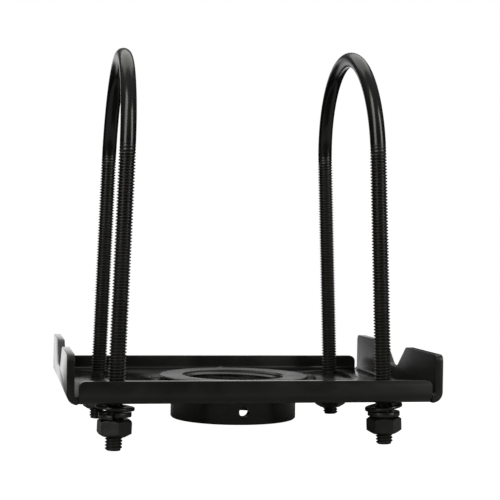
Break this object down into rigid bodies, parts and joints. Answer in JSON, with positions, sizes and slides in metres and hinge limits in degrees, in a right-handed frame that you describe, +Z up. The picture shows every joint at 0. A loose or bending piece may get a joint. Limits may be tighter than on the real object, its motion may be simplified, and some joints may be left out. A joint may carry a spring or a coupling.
{
  "type": "saddle clamp with U-bolts",
  "caption": "Folded steel saddle clamp with V notches and two U-bolts that hold it to a tube, and a threaded pipe collar through its plate.",
  "frame": {"origin": "on the pipe collar's axis at the saddle plate's underside", "axes": "+X along the tube that the saddle holds, +Y across it to the rear, +Z up through the collar, from the nuts towards the U-bolts' bends"},
  "size_m": [0.1698, 0.1328, 0.1889],
  "materials": {
    "saddle_coat": "satin black powder coat",
    "collar_coat": "satin black powder coat",
    "weld_coat": "black powder coat over weld beads",
    "u_bolt_finish": "glossy black coating",
    "hex_nut_finish": "satin black coating",
    "lock_washer_finish": "satin black coating",
    "flat_washer_finish": "satin black coating"
  },
  "bodies": {
    "saddle": {"saddle_plate": "saddle_coat", "pipe_collar": "collar_coat", "collar_weld_beads": "weld_coat"},
    "u_bolt_left": {"u_bolt_left": "u_bolt_finish"},
    "hex_nut_left_front": {"hex_nut_left_front": "hex_nut_finish"},
    "lock_washer_left_front": {"lock_washer_left_front": "lock_washer_finish"},
    "flat_washer_left_front": {"flat_washer_left_front": "flat_washer_finish"},
    "hex_nut_left_rear": {"hex_nut_left_rear": "hex_nut_finish"},
    "lock_washer_left_rear": {"lock_washer_left_rear": "lock_washer_finish"},
    "flat_washer_left_rear": {"flat_washer_left_rear": "flat_washer_finish"},
    "u_bolt_right": {"u_bolt_right": "u_bolt_finish"},
    "hex_nut_right_front": {"hex_nut_right_front": "hex_nut_finish"},
    "lock_washer_right_front": {"lock_washer_right_front": "lock_washer_finish"},
    "flat_washer_right_front": {"flat_washer_right_front": "flat_washer_finish"},
    "hex_nut_right_rear": {"hex_nut_right_rear": "hex_nut_finish"},
    "lock_washer_right_rear": {"lock_washer_right_rear": "lock_washer_finish"},
    "flat_washer_right_rear": {"flat_washer_right_rear": "flat_washer_finish"}
  },
  "joints": [
    {"name": "nut_turn_left_front", "type": "hinge", "parent": "saddle", "child": "hex_nut_left_front", "pos_m": [-0.06266, -0.04906, -0.01189], "axis": [0.03, -0.012, 0.9995], "range_deg": [-1080, 25200]},
    {"name": "lock_washer_turn_left_front", "type": "hinge", "parent": "saddle", "child": "lock_washer_left_front", "pos_m": [-0.06251, -0.04912, -0.00692], "axis": [0.03, -0.012, 0.9995], "continuous": true},
    {"name": "flat_washer_turn_left_front", "type": "hinge", "parent": "saddle", "child": "flat_washer_left_front", "pos_m": [-0.06239, -0.04916, -0.003], "axis": [0.0837, 0, 0.9965], "continuous": true},
    {"name": "nut_turn_left_rear", "type": "hinge", "parent": "saddle", "child": "hex_nut_left_rear", "pos_m": [-0.06266, 0.04934, -0.01189], "axis": [0.03, -0.012, 0.9995], "range_deg": [-1080, 25200]},
    {"name": "lock_washer_turn_left_rear", "type": "hinge", "parent": "saddle", "child": "lock_washer_left_rear", "pos_m": [-0.06251, 0.04928, -0.00692], "axis": [0.03, -0.012, 0.9995], "continuous": true},
    {"name": "flat_washer_turn_left_rear", "type": "hinge", "parent": "saddle", "child": "flat_washer_left_rear", "pos_m": [-0.06239, 0.04924, -0.003], "axis": [0.0837, 0, 0.9965], "continuous": true},
    {"name": "u_bolt_slide_left", "type": "slide", "parent": "saddle", "child": "u_bolt_left", "axis": [0.03, -0.012, 0.9995], "range_m": [-0.09878, 0.00423]},
    {"name": "nut_turn_right_front", "type": "hinge", "parent": "saddle", "child": "hex_nut_right_front", "pos_m": [0.06231, -0.04906, -0.01189], "axis": [-0.043, -0.012, 0.999], "range_deg": [-1080, 25200]},
    {"name": "lock_washer_turn_right_front", "type": "hinge", "parent": "saddle", "child": "lock_washer_right_front", "pos_m": [0.0621, -0.04912, -0.00691], "axis": [-0.043, -0.012, 0.999], "continuous": true},
    {"name": "flat_washer_turn_right_front", "type": "hinge", "parent": "saddle", "child": "flat_washer_right_front", "pos_m": [0.06195, -0.04916, -0.00355], "axis": [-0.165, 0, 0.9863], "continuous": true},
    {"name": "nut_turn_right_rear", "type": "hinge", "parent": "saddle", "child": "hex_nut_right_rear", "pos_m": [0.06231, 0.04934, -0.01189], "axis": [-0.043, -0.012, 0.999], "range_deg": [-1080, 25200]},
    {"name": "lock_washer_turn_right_rear", "type": "hinge", "parent": "saddle", "child": "lock_washer_right_rear", "pos_m": [0.0621, 0.04928, -0.00691], "axis": [-0.043, -0.012, 0.999], "continuous": true},
    {"name": "flat_washer_turn_right_rear", "type": "hinge", "parent": "saddle", "child": "flat_washer_right_rear", "pos_m": [0.06195, 0.04924, -0.00355], "axis": [-0.165, 0, 0.9863], "continuous": true},
    {"name": "u_bolt_slide_right", "type": "slide", "parent": "saddle", "child": "u_bolt_right", "axis": [-0.043, -0.012, 0.999], "range_m": [-0.09878, 0.00423]}
  ],
  "couplings": [
    {"joint": "nut_turn_left_front", "follows": "u_bolt_slide_left", "rad_per_m": -4452.7},
    {"joint": "nut_turn_left_rear", "follows": "u_bolt_slide_left", "rad_per_m": -4452.7},
    {"joint": "nut_turn_right_front", "follows": "u_bolt_slide_right", "rad_per_m": -4452.7},
    {"joint": "nut_turn_right_rear", "follows": "u_bolt_slide_right", "rad_per_m": -4452.7}
  ]
}
